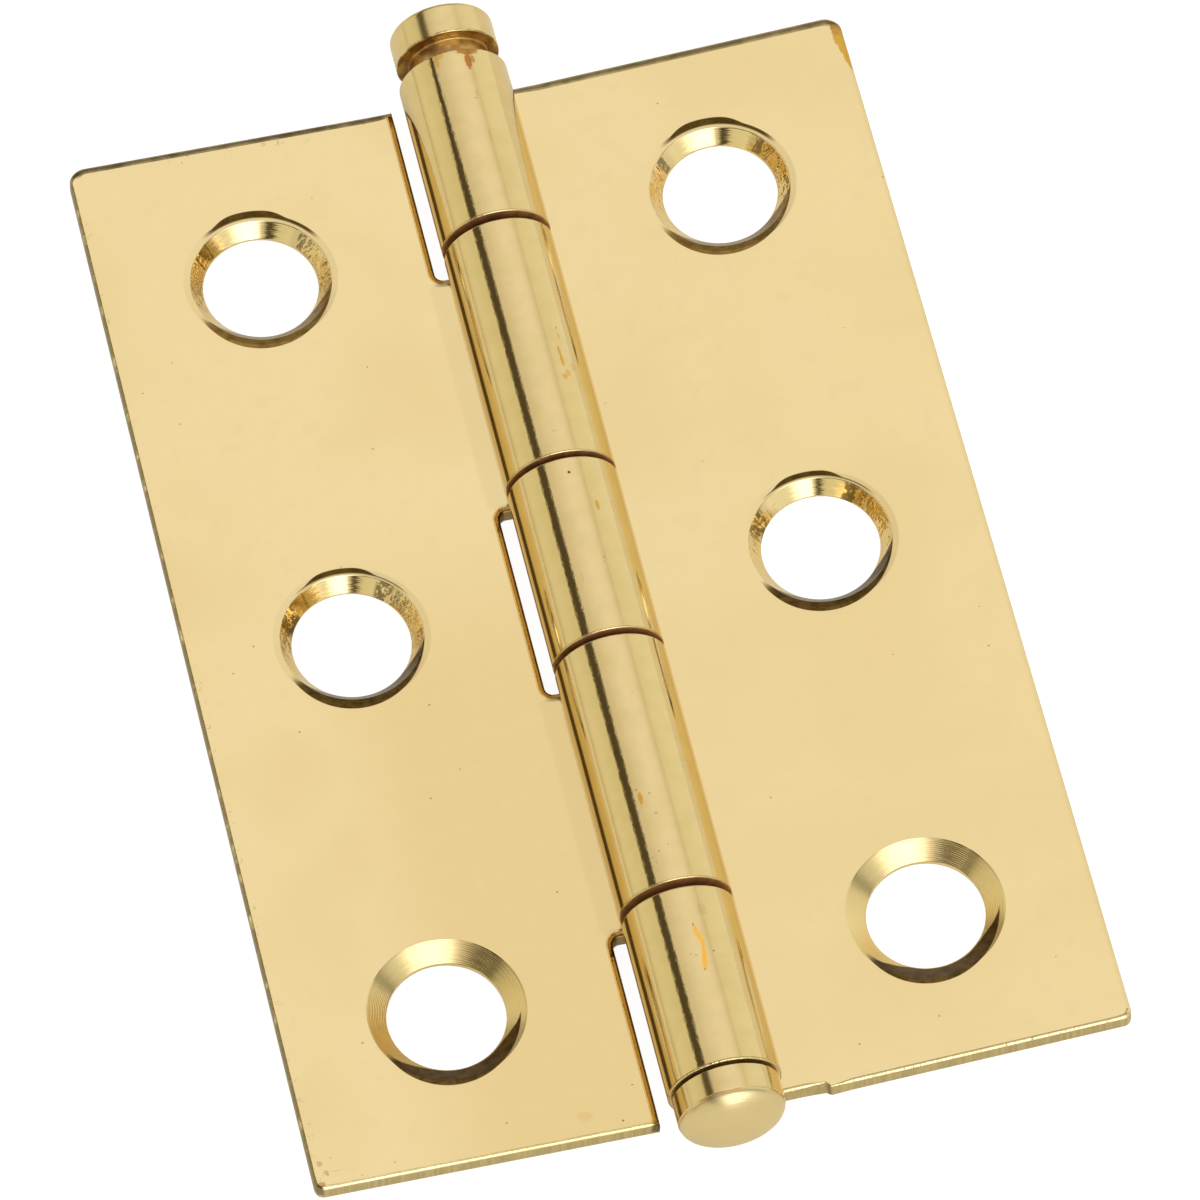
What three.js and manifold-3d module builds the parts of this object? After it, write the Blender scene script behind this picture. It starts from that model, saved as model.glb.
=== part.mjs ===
// Loose-pin butt hinge for a cabinet door: two rolled sheet leaves, a headed pin and a button that plugs the bottom knuckle.
// Millimetres, +Z up. The hinge lies on the backs of its leaves with the barrel upward.
// +Y runs along the pin towards its head, +X towards the leaf that carries three knuckles.
// The frame's origin is on the plane of the fixed leaf's back, straight under the pin's axis.
import * as THREE from "three";
import { mergeVertices } from "three/addons/utils/BufferGeometryUtils.js";
import Module from "manifold-3d";

// Driving dimensions
const LEAF_LENGTH = 63.5; // along the pin
const LEAF_REACH = 21.38; // pin axis to a leaf's outer edge: 42.76 across both leaves laid open
const SHEET = 1.0; // thickness of the rolled sheet
const BARREL_R = 3.0; // outside of a knuckle
const BORE_R = BARREL_R - SHEET; // inside of a knuckle
const ROLL_DEG = 305; // how far the sheet is rolled, from the tangent under the barrel to its free end
const OPEN_FOLD_DEG = 4.6; // the moving leaf stands this far short of lying flat
const Y_SHIFT = -0.38; // leaf middle, measured from the frame's origin, so that head and button lie evenly about it

// Knuckles along the pin, each [lower end, upper end] measured from the leaf's middle
const KNUCKLE_1 = [21.02, 31.7];
const KNUCKLE_2 = [5.6, 20.58];
const KNUCKLE_3 = [-5.45, 5.28];
const KNUCKLE_4 = [-20.69, -5.79];
const KNUCKLE_5 = [-31.45, -21.13];
const NOTCH_FIXED = 3.05; // pin axis to the edge of the fixed leaf's notches
const NOTCH_MOVING = 3.4; // pin axis to the edge of the moving leaf's notches
const NOTCH_CORNER_R = 0.45;
const LEAF_CORNER_R = 0.5; // outer corners at the lower end
const TOP_CORNER_R = 0.9; // outer corners at the upper end
const TRIM_X = 5.3; // the last knuckle's tab is trimmed short of the leaf's end as far out as this

// Countersunk screw holes: three in a row on each leaf
const HOLE_X = 12.6; // pin axis to the row
const HOLE_PITCH = 22.8;
const HOLE_Y = -0.15; // middle hole, measured from the leaf's middle
// through radius and height of the plain land, for the lowest, middle and upper row
const HOLE_R = [3.1, 3.16, 3.11];
const LAND_TOP = [0.25, 0.12, 0.15];
const CONE_R = 3.78; // cone where it meets the lip
const CONE_TOP = [0.74, 0.94, 0.94]; // the lowest holes are cut as one plain cone
const LIP_R = 4.12; // lip where it meets the front face

// Pin
const PIN_R = 1.94;
const PIN_END_Y = -28.0;
const NECK_R = 2.15; // shoulder that stands on the top knuckle
const NECK_Y = 31.75;
const HEAD_R = 2.85;
const HEAD_Y = 33.0; // underside of the head
const HEAD_TOP_Y = 34.95;

// Button in the bottom knuckle
const STUB_R = 1.95;
const STUB_TOP_Y = -28.5;
const BUTTON_R = 2.82;
const BUTTON_Y = -31.6; // face towards the knuckle
const BAND_END_Y = -33.0; // where the straight band ends
const DOME_R = 2.78; // rim of the dome, a hair inside the band
const DOME_Y = -33.02;
const BUTTON_END_Y = -34.2;

const wasm = await Module();
wasm.setup();

const toSolid = (geometry) => {
  const g = geometry.index ? geometry.toNonIndexed() : geometry.clone();
  for (const name of Object.keys(g.attributes))
    if (name !== "position") g.deleteAttribute(name);
  const m = mergeVertices(g, 1e-4);
  return new wasm.Manifold(
    new wasm.Mesh({
      numProp: 3,
      vertProperties: new Float32Array(m.attributes.position.array),
      triVerts: new Uint32Array(m.index.array),
    }),
  );
};

const toGeometry = (solid) => {
  const m = solid.getMesh();
  const g = new THREE.BufferGeometry();
  g.setAttribute("position", new THREE.BufferAttribute(new Float32Array(m.vertProperties), 3));
  g.setIndex(new THREE.BufferAttribute(new Uint32Array(m.triVerts), 1));
  g.computeVertexNormals();
  return g;
};

// A closed outline whose corners are rounded: points are [x, y, radius].
function roundedShape(points, steps = 6) {
  const out = [];
  const n = points.length;
  points.forEach(([x, y, r], i) => {
    const p = new THREE.Vector2(x, y);
    if (!r) {
      out.push(p);
      return;
    }
    const a = new THREE.Vector2(...points[(i + n - 1) % n].slice(0, 2)).sub(p).normalize();
    const b = new THREE.Vector2(...points[(i + 1) % n].slice(0, 2)).sub(p).normalize();
    const half = Math.acos(a.dot(b)) / 2;
    const reach = r / Math.tan(half);
    const centre = a.clone().add(b).normalize().multiplyScalar(r / Math.sin(half)).add(p);
    const from = a.clone().multiplyScalar(reach).add(p).sub(centre);
    const to = b.clone().multiplyScalar(reach).add(p).sub(centre);
    const a0 = Math.atan2(from.y, from.x);
    let sweep = Math.atan2(to.y, to.x) - a0;
    while (sweep > Math.PI) sweep -= 2 * Math.PI;
    while (sweep < -Math.PI) sweep += 2 * Math.PI;
    for (let k = 0; k <= steps; k++)
      out.push(new THREE.Vector2(centre.x + r * Math.cos(a0 + (sweep * k) / steps), centre.y + r * Math.sin(a0 + (sweep * k) / steps)));
  });
  return new THREE.Shape(out);
}

const flatExtrude = (shape, depth) => new THREE.ExtrudeGeometry(shape, { depth, bevelEnabled: false, curveSegments: 1 });

// Plate of a leaf before rolling, in the fixed leaf's place (towards +X), with tabs for its own knuckles.
function plateOf(own, notch) {
  const half = LEAF_LENGTH / 2;
  const pts = [
    [LEAF_REACH, -half, LEAF_CORNER_R],
    [LEAF_REACH, half, TOP_CORNER_R],
  ];
  // down the barrel side, from the top end to the bottom end
  const tabs = [...own].sort((p, q) => q[1] - p[1]);
  let top = half;
  for (const [low, high] of tabs) {
    if (half - high > 1) {
      if (top === half) pts.push([notch, half, 0]);
      pts.push([notch, high, NOTCH_CORNER_R], [0, high, 0]);
    } else {
      pts.push([0, high, 0]);
    }
    pts.push([0, low, 0]);
    if (half + low > 1) pts.push([notch, low, NOTCH_CORNER_R]);
    top = low;
  }
  if (half + tabs[tabs.length - 1][0] > 1) pts.push([notch, -half, 0]);
  else {
    // the last tab is trimmed a little short of the leaf's end
    pts.push([TRIM_X, tabs[tabs.length - 1][0], 0], [TRIM_X + 0.05, -half, 0]);
  }
  return flatExtrude(roundedShape(pts), SHEET);
}

// A rolled knuckle with a short lead of flat sheet. The roll runs from under the barrel, up its far side and over the top.
function knuckleOf([low, high]) {
  const lead = 4.2,
    steps = 50;
  const at = (r, k) => {
    const a = THREE.MathUtils.degToRad(-90 - (ROLL_DEG * k) / steps);
    return new THREE.Vector2(r * Math.cos(a), BARREL_R + r * Math.sin(a));
  };
  const pts = [new THREE.Vector2(lead, 0)];
  for (let k = 0; k <= steps; k++) pts.push(at(BARREL_R, k));
  for (let k = steps; k >= 0; k--) pts.push(at(BORE_R, k));
  pts.push(new THREE.Vector2(lead, SHEET));
  const g = flatExtrude(new THREE.Shape(pts), high - low);
  g.rotateX(Math.PI / 2); // the outline's second axis becomes +Z and the sweep runs along -Y
  g.translate(0, high, 0);
  return g;
}

function holeCutter(row) {
  const y = HOLE_Y + (row - 1) * HOLE_PITCH;
  const g = new THREE.LatheGeometry(
    [
      [0, -1],
      [HOLE_R[row], -1],
      [HOLE_R[row], LAND_TOP[row]],
      [CONE_R, CONE_TOP[row]],
      [LIP_R, SHEET],
      [LIP_R, SHEET + 1],
      [0, SHEET + 1],
    ].map(([r, h]) => new THREE.Vector2(r, h)),
    56,
  );
  g.rotateX(Math.PI / 2); // lathe axis from +Y to +Z
  g.translate(HOLE_X, y, 0);
  return g;
}

function leafSolid(own, notch) {
  let leaf = toSolid(plateOf(own, notch));
  for (const k of own) leaf = leaf.add(toSolid(knuckleOf(k)));
  for (const row of [0, 1, 2]) leaf = leaf.subtract(toSolid(holeCutter(row)));
  return leaf;
}

// A turned piece: profile points are [radius, distance along the pin].
function turned(points, segments) {
  return new THREE.LatheGeometry(
    points.map(([r, y]) => new THREE.Vector2(r, y)),
    segments,
  );
}

const brass = (hex, roughness) => new THREE.MeshStandardMaterial({ color: hex, roughness, metalness: 1 });
const hinge = new THREE.Group();

const fixedLeaf = new THREE.Mesh(toGeometry(leafSolid([KNUCKLE_1, KNUCKLE_3, KNUCKLE_5], NOTCH_FIXED)), brass(0xe8cf93, 0.14));
fixedLeaf.name = "fixed_leaf";
fixedLeaf.position.set(0, Y_SHIFT, 0);
hinge.add(fixedLeaf);

// The moving leaf is the same kind of blank turned to face the other way across the pin:
// its plate reaches towards -X and its sheet rolls up on the opposite side of the barrel.
const movingGeometry = toGeometry(leafSolid([KNUCKLE_2, KNUCKLE_4], NOTCH_MOVING));
{
  const p = movingGeometry.attributes.position;
  for (let i = 0; i < p.count; i++) p.setX(i, -p.getX(i));
  const idx = movingGeometry.index;
  for (let i = 0; i < idx.count; i += 3) {
    const a = idx.getX(i);
    idx.setX(i, idx.getX(i + 1));
    idx.setX(i + 1, a);
  }
  movingGeometry.translate(0, 0, -BARREL_R); // about the pin's axis, so that the group below can swing it
  movingGeometry.computeVertexNormals();
}
const swing = new THREE.Group();
swing.position.set(0, Y_SHIFT, BARREL_R);
swing.rotation.y = THREE.MathUtils.degToRad(OPEN_FOLD_DEG);
const movingLeaf = new THREE.Mesh(movingGeometry, brass(0xe8cf93, 0.14));
movingLeaf.name = "moving_leaf";
swing.add(movingLeaf);
hinge.add(swing);

const pin = new THREE.Mesh(
  turned(
    [
      [0, PIN_END_Y],
      [1.2, PIN_END_Y],
      [1.7, PIN_END_Y + 0.3],
      [PIN_R, PIN_END_Y + 0.9],
      [PIN_R, NECK_Y],
      [NECK_R, NECK_Y],
      [NECK_R, HEAD_Y - 0.15],
      [NECK_R + 0.15, HEAD_Y],
      [HEAD_R - 0.06, HEAD_Y],
      [HEAD_R, HEAD_Y + 0.06],
      [HEAD_R, HEAD_TOP_Y - 0.3],
      [HEAD_R - 0.09, HEAD_TOP_Y - 0.09],
      [HEAD_R - 0.3, HEAD_TOP_Y],
      [0, HEAD_TOP_Y],
    ],
    48,
  ),
  brass(0xe6cb8c, 0.16),
);
pin.name = "pin";
pin.position.set(0, Y_SHIFT, BARREL_R);
hinge.add(pin);

const dome = [];
for (let k = 0; k <= 8; k++) {
  // half of an ellipse that closes on the axis
  const a = (Math.PI / 2) * (k / 8);
  dome.push([DOME_R * Math.sin(a), DOME_Y - (DOME_Y - BUTTON_END_Y) * Math.cos(a)]);
}
const button = new THREE.Mesh(
  turned(
    [
      ...dome,
      [BUTTON_R, BAND_END_Y],
      [BUTTON_R, BUTTON_Y - 0.08],
      [BUTTON_R - 0.08, BUTTON_Y],
      [STUB_R, BUTTON_Y],
      [STUB_R, STUB_TOP_Y - 0.4],
      [STUB_R - 0.4, STUB_TOP_Y],
      [0, STUB_TOP_Y],
    ],
    48,
  ),
  brass(0xe2c888, 0.24),
);
button.name = "bottom_button";
button.position.set(0, Y_SHIFT, BARREL_R);
hinge.add(button);

export default hinge;
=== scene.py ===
import math
import bpy
import numpy as np
from mathutils import Matrix, Vector
from mathutils.geometry import delaunay_2d_cdt


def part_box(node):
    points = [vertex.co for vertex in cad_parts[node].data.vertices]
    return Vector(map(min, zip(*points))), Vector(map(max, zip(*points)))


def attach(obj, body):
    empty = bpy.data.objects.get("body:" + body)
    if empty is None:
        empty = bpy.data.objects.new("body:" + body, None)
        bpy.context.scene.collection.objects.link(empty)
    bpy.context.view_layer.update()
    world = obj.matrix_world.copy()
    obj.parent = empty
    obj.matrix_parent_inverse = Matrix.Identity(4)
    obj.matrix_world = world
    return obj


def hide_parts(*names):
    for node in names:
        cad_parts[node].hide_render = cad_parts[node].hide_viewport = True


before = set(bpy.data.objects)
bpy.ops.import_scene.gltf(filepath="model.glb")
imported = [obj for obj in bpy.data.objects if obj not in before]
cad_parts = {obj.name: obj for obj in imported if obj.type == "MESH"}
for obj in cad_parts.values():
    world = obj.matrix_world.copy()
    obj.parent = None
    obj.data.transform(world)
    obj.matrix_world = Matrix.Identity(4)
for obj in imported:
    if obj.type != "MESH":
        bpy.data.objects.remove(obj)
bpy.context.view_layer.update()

MM = 0.001

# ---------------------------------------------------------------- dimensions shared with the CAD, in millimetres
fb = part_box("fixed_leaf")
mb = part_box("moving_leaf")
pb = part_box("pin")
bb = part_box("bottom_button")
LEAF_LENGTH = (fb[1].y - fb[0].y) / MM
REACH = fb[1].x / MM
SHEET = 1.0
BARREL_R = (fb[1].z - fb[0].z) / MM / 2
FOLD = math.radians(4.6)
Y0 = (fb[1].y + fb[0].y) / 2 / MM            # leaf middle along the pin
ROLL = math.radians(305)
K1, K2, K3, K4, K5 = (21.02, 31.7), (5.6, 20.58), (-5.45, 5.28), (-20.69, -5.79), (-31.45, -21.13)
HOLE_X, HOLE_PITCH, HOLE_Y = 12.6, 22.8, -0.15
HOLES = [(3.10, 0.25), (3.16, 0.12), (3.11, 0.15)]          # through radius and land, lowest to upper row
STEP_X = 5.3


# ---------------------------------------------------------------- 2-D outline of a blank before it is rolled
def rounded(points, arc=7):
    """Corners [u, v, radius] -> list of (u, v) with each corner's arc."""
    out = []
    n = len(points)
    for i, (u, v, r) in enumerate(points):
        p = np.array([u, v], float)
        if r <= 0:
            out.append(p)
            continue
        a = np.array(points[i - 1][:2], float) - p
        b = np.array(points[(i + 1) % n][:2], float) - p
        a /= np.linalg.norm(a)
        b /= np.linalg.norm(b)
        half = math.acos(max(-1, min(1, float(a @ b)))) / 2
        c = p + (a + b) / np.linalg.norm(a + b) * r / math.sin(half)
        s = p + a * r / math.tan(half) - c
        e = p + b * r / math.tan(half) - c
        a0 = math.atan2(s[1], s[0])
        sw = math.atan2(e[1], e[0]) - a0
        while sw > math.pi:
            sw -= 2 * math.pi
        while sw < -math.pi:
            sw += 2 * math.pi
        for k in range(arc + 1):
            t = a0 + sw * k / arc
            out.append(c + r * np.array([math.cos(t), math.sin(t)]))
    return out


STEP_ROLL = BARREL_R * math.radians(3.0)


def subdivide(poly):
    """Breaks long edges: at fixed roll angles where the sheet is rolled, at about 1.2 mm elsewhere."""
    out = []
    n = len(poly)
    for i in range(n):
        a, b = poly[i], poly[(i + 1) % n]
        out.append(a)
        d = b - a
        L = float(np.linalg.norm(d))
        if L > 1.0 and min(a[0], b[0]) > -1e-6:
            sa, sb = (0.12 if math.hypot(q[0] - STEP_X, q[1] + LEAF_LENGTH / 2) < 0.6 else 0.45 for q in (a, b))
            out.append(a + d * (sa / L))
            for k in range(1, int(L // 1.2) + 1):
                out.append(a + d * k / (int(L // 1.2) + 1))
            out.append(b - d * (sb / L))
            continue
        if min(a[0], b[0]) < -1e-6 and abs(d[0]) > 1e-6:
            lo, hi = sorted((a[0], b[0]))
            us = [k * STEP_ROLL for k in range(math.ceil(lo / STEP_ROLL), math.floor(hi / STEP_ROLL) + 1)]
            if d[0] < 0:
                us = us[::-1]
            for u in us:
                t = (u - a[0]) / d[0]
                if 1e-3 < t < 1 - 1e-3:
                    out.append(a + d * t)
        else:
            m = int(L // 1.2)
            for k in range(1, m + 1):
                out.append(a + d * k / (m + 1))
    return np.array(out)


def outline(own, notch):
    """Counter-clockwise outline in (u, v): u = reach from the pin's tangent, v = along the pin; the tabs run to negative u."""
    half = LEAF_LENGTH / 2
    end = -ROLL * BARREL_R
    pts = [[REACH, -half, 0.5], [REACH, half, 0.9]]
    tabs = sorted(own, key=lambda q: -q[1])
    for i, (low, high) in enumerate(tabs):
        if half - high > 1:
            if i == 0:
                pts.append([notch, half, 0])
            pts.append([notch, high, 0.45])
        pts += [[0, high, 0], [end, high, 0.25], [end, low, 0.25], [0, low, 0]]
        if half + low > 1:
            pts.append([notch, low, 0.45])
    last = tabs[-1][0]
    if half + last > 1:
        pts.append([notch, -half, 0])
    else:
        pts += [[STEP_X - 0.10, last, 0.08], [STEP_X + 0.12, -half, 0.08]]
    return subdivide(rounded(pts))


def inward(poly):
    """Unit inward normals of a counter-clockwise polygon's vertices, with the mitre factor."""
    a = np.roll(poly, 1, 0)
    b = np.roll(poly, -1, 0)
    d1 = poly - a
    d2 = b - poly
    d1 /= np.linalg.norm(d1, axis=1)[:, None]
    d2 /= np.linalg.norm(d2, axis=1)[:, None]
    n1 = np.stack([-d1[:, 1], d1[:, 0]], 1)
    n2 = np.stack([-d2[:, 1], d2[:, 0]], 1)
    n = n1 + n2
    n /= np.linalg.norm(n, axis=1)[:, None]
    k = 1 / np.clip((n * n1).sum(1), 0.5, 1)
    return n, k


def bend(uvh, reach_sign):
    """Developed point (u, v, h) -> its place on the leaf (mm, leaf frame: z = 0 on the back) and the frame (e_u, e_h)."""
    u, v, h = uvh[:, 0], uvh[:, 1], uvh[:, 2]
    phi = np.where(u < 0, -u / BARREL_R, 0.0)
    r = BARREL_R - h
    x = np.where(u < 0, -r * np.sin(phi), u)
    z = np.where(u < 0, BARREL_R - r * np.cos(phi), h)
    eu = np.stack([np.cos(phi), np.zeros_like(u), -np.sin(phi)], 1)
    eh = np.stack([np.sin(phi), np.zeros_like(u), np.cos(phi)], 1)
    P = np.stack([x, v, z], 1)
    if reach_sign < 0:
        P[:, 0] *= -1
        eu[:, 0] *= -1
        eh[:, 0] *= -1
    return P, eu, eh


def fillet_profile(pts, arc=6):
    """Corners [r, y, radius] of an open profile -> points and outward normals (the solid lies to the left of travel)."""
    P, N = [], []
    n = len(pts)
    for i, (r, y, f) in enumerate(pts):
        p = np.array([r, y], float)
        if i in (0, n - 1) or f <= 0:
            if i == 0:
                d = np.array(pts[1][:2], float) - p
            elif i == n - 1:
                d = p - np.array(pts[i - 1][:2], float)
            else:
                d1 = p - np.array(pts[i - 1][:2], float)
                d2 = np.array(pts[i + 1][:2], float) - p
                d = d1 / np.linalg.norm(d1) + d2 / np.linalg.norm(d2)
            d = d / np.linalg.norm(d)
            P.append(p)
            N.append(np.array([d[1], -d[0]]))
            continue
        a = np.array(pts[i - 1][:2], float) - p
        b = np.array(pts[i + 1][:2], float) - p
        a /= np.linalg.norm(a)
        b /= np.linalg.norm(b)
        half = math.acos(max(-1, min(1, float(a @ b)))) / 2
        c = p + (a + b) / np.linalg.norm(a + b) * f / math.sin(half)
        s = p + a * f / math.tan(half) - c
        e = p + b * f / math.tan(half) - c
        a0 = math.atan2(s[1], s[0])
        sw = math.atan2(e[1], e[0]) - a0
        while sw > math.pi:
            sw -= 2 * math.pi
        while sw < -math.pi:
            sw += 2 * math.pi
        d1 = -a
        right = np.array([d1[1], -d1[0]])
        sign = 1.0 if float(right @ (s / np.linalg.norm(s))) > 0 else -1.0
        for k in range(arc + 1):
            t = a0 + sw * k / arc
            q = np.array([math.cos(t), math.sin(t)])
            P.append(c + f * q)
            N.append(q * sign)
    return np.array(P), np.array(N)


LEAVES = {}


def make_object(name, verts, faces, normals, attrs, body, replaces):
    me = bpy.data.meshes.new(name)
    me.from_pydata([tuple(v) for v in verts * MM], [], faces)
    me.update()
    for key, val in attrs.items():
        at = me.attributes.new(key, "FLOAT", "POINT")
        at.data.foreach_set("value", np.asarray(val, np.float32))
    me.shade_smooth()
    me.normals_split_custom_set_from_vertices([tuple(n) for n in normals])
    ob = bpy.data.objects.new(name, me)
    bpy.context.scene.collection.objects.link(ob)
    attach(ob, body)
    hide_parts(*replaces)
    return ob


def waves(x, y, seed):
    """A very gentle unevenness of rolled sheet, in mm, and its slopes."""
    rng = np.random.default_rng(seed)
    z = np.zeros_like(x)
    gx = np.zeros_like(x)
    gy = np.zeros_like(x)
    for k in range(14):
        L = rng.uniform(5.0, 22.0)
        a = rng.uniform(0, 2 * math.pi)
        ph = rng.uniform(0, 2 * math.pi)
        amp = 0.00016 * L * rng.uniform(0.5, 1.0)
        kx, ky = 2 * math.pi / L * math.cos(a), 2 * math.pi / L * math.sin(a)
        z += amp * np.sin(kx * x + ky * y + ph)
        gx += amp * kx * np.cos(kx * x + ky * y + ph)
        gy += amp * ky * np.cos(kx * x + ky * y + ph)
    return z, gx, gy


def leaf(name, own, notch, sign, body, seed):
    poly = outline(own, notch)
    n_in, mit = inward(poly)
    half = LEAF_LENGTH / 2
    u, v = poly[:, 0], poly[:, 1]
    nin_u, nin_v = n_in[:, 0], n_in[:, 1]
    # how far the sheared edge is rolled over: more along the top, a fine break elsewhere
    rf = np.full(len(poly), 0.16)
    rb = np.full(len(poly), 0.13)
    top = np.clip((v - (half - 0.9)) / 0.6, 0, 1) * np.clip((u - 0.5) / 4.0, 0, 1)
    bottom = np.clip((-half + 0.9 - v) / 0.6, 0, 1) * np.clip((u - 0.0) / 2.0, 0, 1)
    side = np.clip((u - (REACH - 0.9)) / 0.6, 0, 1)
    rf = rf + 0.14 * top + 0.06 * bottom + 0.05 * side
    slot = np.clip((notch + 0.6 - u) / 0.4, 0, 1) * (u > 0.5) if sign < 0 else np.zeros_like(u)
    ra = np.maximum(rf + (0.30 if sign > 0 else 0.22) * top, 0.16 + 0.24 * slot)
    # the small step where the last tab is trimmed, and the ends of the rolled tabs, are nearly sharp
    near_step = np.clip(1.3 - np.hypot(u - STEP_X, v + half - 0.15) / 0.8, 0, 1) if half + own[-1][0] < 1 else np.zeros_like(u)
    rf = rf * (1 - near_step) + 0.07 * near_step
    ra = ra * (1 - near_step) + 0.07 * near_step
    rb0 = 0.13 * (1 - near_step) + 0.05 * near_step
    rb = np.where(u < 0, 0.11, np.minimum(rb, rb0))
    rf = np.where(u < -1.0, 0.10, rf)
    ra = np.where(u < -1.0, 0.10, ra)
    A = 5
    rings = []       # (uv, h, angle)
    for k in range(A + 1):
        t = math.pi / 2 * k / A
        rings.append((poly + (n_in * (mit * ra)[:, None]) * (1 - math.sin(t)), SHEET - rf + rf * math.cos(t), t))
    for k in range(A + 1):
        t = math.pi / 2 * k / A
        rings.append((poly + (n_in * (mit * rb)[:, None]) * (1 - math.cos(t)), rb - rb * math.sin(t), math.pi / 2 + t))
    NP = len(poly)
    uvh, nrm, att_edge, att_hole, att_ang, att_phi, att_cos = [], [], [], [], [], [], []
    lead = ((v < -half + 1.0) & (u > 0) & (u < STEP_X)) if half + own[-1][0] < 1 else np.zeros(len(poly), bool)
    for uv, h, t in rings:
        # the trimmed end of the last tab is sheared a little out of square
        uv = uv.copy()
        uv[:, 1] -= np.where(lead, 0.12 * u / STEP_X * (1 - h / SHEET), 0.0)
        uvh.append(np.column_stack([uv, h]))
        out_, up_ = (rf * math.sin(t), ra * math.cos(t)) if t < math.pi / 2 - 1e-9 else (np.full(NP, math.sin(t)), np.full(NP, math.cos(t)))
        ln = np.hypot(out_, up_)
        nrm.append(np.column_stack([-n_in * (out_ / ln)[:, None], up_ / ln]))
        att_edge.append(np.full(NP, math.sin(t) ** 2))
        att_hole.append(np.full(NP, -1.0))
        att_ang.append(np.zeros(NP))
        att_phi.append(np.zeros(NP))
        att_cos.append(np.zeros(NP))
    faces = []
    R = len(rings)
    for k in range(R - 1):
        for i in range(NP):
            j = (i + 1) % NP
            q = (k * NP + i, (k + 1) * NP + i, (k + 1) * NP + j, k * NP + j)
            faces.append(q)
    front_ring = np.arange(NP)
    back_ring = np.arange(NP) + (R - 1) * NP
    base = R * NP
    # countersunk holes: profile runs from the front face inwards and down to the back face
    NS = 144
    ang = np.linspace(0, 2 * math.pi, NS, endpoint=False)
    hole_front, hole_back = [], []
    for i in (-1, 0, 1):
        cy = HOLE_Y + i * HOLE_PITCH
        start = base
        hr, land = HOLES[i + 1]
        lip = [[4.34, SHEET, 0], [4.14, SHEET, 0.05]] if i < 0 else [[4.34, SHEET, 0], [4.16, SHEET, 0.14], [3.80, 0.925, 0.08]]
        pp, pn = fillet_profile(lip + [[hr + 0.02, land, 0.03], [hr, land - 0.04, 0],
                                 [hr, 0.045, 0], [hr + 0.045, 0, 0], [hr + 0.14, 0, 0]], 5)
        for (r, h), (nr, nh) in zip(pp, pn):
            uvh.append(np.column_stack([HOLE_X + r * np.cos(ang), cy + r * np.sin(ang), np.full(NS, h)]))
            nrm.append(np.column_stack([nr * np.cos(ang), nr * np.sin(ang), np.full(NS, nh)]))
            att_edge.append(np.zeros(NS))
            att_hole.append(np.full(NS, r))
            att_ang.append(np.full(NS, float(i + 1)))
            att_phi.append(np.sin(ang))
            att_cos.append(sign * np.cos(ang))
            base += NS
        M = len(pp)
        for k in range(M - 1):
            for s in range(NS):
                t = (s + 1) % NS
                faces.append((start + k * NS + s, start + k * NS + t, start + (k + 1) * NS + t, start + (k + 1) * NS + s))
        hole_front.append(start + np.arange(NS))
        hole_back.append(start + (M - 1) * NS + np.arange(NS))
    U = np.concatenate(uvh)
    NR = np.concatenate(nrm)
    att_edge = np.concatenate(att_edge)
    att_hole = np.concatenate(att_hole)
    att_ang = np.concatenate(att_ang)
    att_phi = np.concatenate(att_phi)
    att_cos = np.concatenate(att_cos)

    def cap(outer, holes, h, up):
        nonlocal U, NR, att_edge, att_hole, att_ang, att_phi, att_cos, faces
        loops = [outer] + list(holes)
        ids = np.concatenate(loops)
        pts2 = [Vector(U[i, :2]) for i in ids]
        edges = []
        off = 0
        for L in loops:
            m = len(L)
            edges += [(off + a, off + (a + 1) % m) for a in range(m)]
            off += m
        # interior points: a light grid on the plate, and rows at fixed roll angles on the tabs
        extra = []
        for gu in np.arange(0.0, REACH - 0.6, 1.3):
            for gv in np.arange(-half + 0.9, half - 0.6, 1.3):
                extra.append((gu, gv))
        for low, high in own:
            kmax = int(math.floor((ROLL * BARREL_R - 0.5) / STEP_ROLL))
            for k in range(1, kmax + 1):
                m = max(2, int((high - low) / 2.2))
                for gv in np.linspace(low + 0.6, high - 0.6, m):
                    extra.append((-k * STEP_ROLL, gv))
        O = U[outer][:, :2]
        ex = np.array(extra)
        keep = inside(ex, O) & (dist_to_poly(ex, O) > 0.25)
        for i in (-1, 0, 1):
            cy = HOLE_Y + i * HOLE_PITCH
            rr = np.hypot(U[holes[0][0], 0] - HOLE_X, U[holes[0][0], 1] - (HOLE_Y - HOLE_PITCH))
            keep &= np.hypot(ex[:, 0] - HOLE_X, ex[:, 1] - cy) > rr + 0.3
        ex = ex[keep]
        n0 = len(pts2)
        pts2 += [Vector(p) for p in ex]
        vo, eo, fo, ov, oe, of_ = delaunay_2d_cdt(pts2, edges, [], 0, 1e-7)
        start = len(U)
        gid = np.full(len(vo), -1)
        newpts = []
        for i, src in enumerate(ov):
            src = [s for s in src if s < n0]
            if src:
                gid[i] = ids[src[0]]
            else:
                gid[i] = start + len(newpts)
                newpts.append((vo[i].x, vo[i].y, h))
        if newpts:
            npx = np.array(newpts)
            U = np.concatenate([U, npx])
            NR = np.concatenate([NR, np.tile([0, 0, 1.0 if up else -1.0], (len(npx), 1))])
            att_edge = np.concatenate([att_edge, np.zeros(len(npx))])
            att_hole = np.concatenate([att_hole, np.full(len(npx), -1.0)])
            att_ang = np.concatenate([att_ang, np.zeros(len(npx))])
            att_phi = np.concatenate([att_phi, np.zeros(len(npx))])
            att_cos = np.concatenate([att_cos, np.zeros(len(npx))])
        V2 = np.array([(q.x, q.y) for q in vo])
        tris = np.array([f for f in fo if len(f) == 3])
        cen = V2[tris].mean(1)
        ok = inside(cen, O)
        for L in holes:
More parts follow.
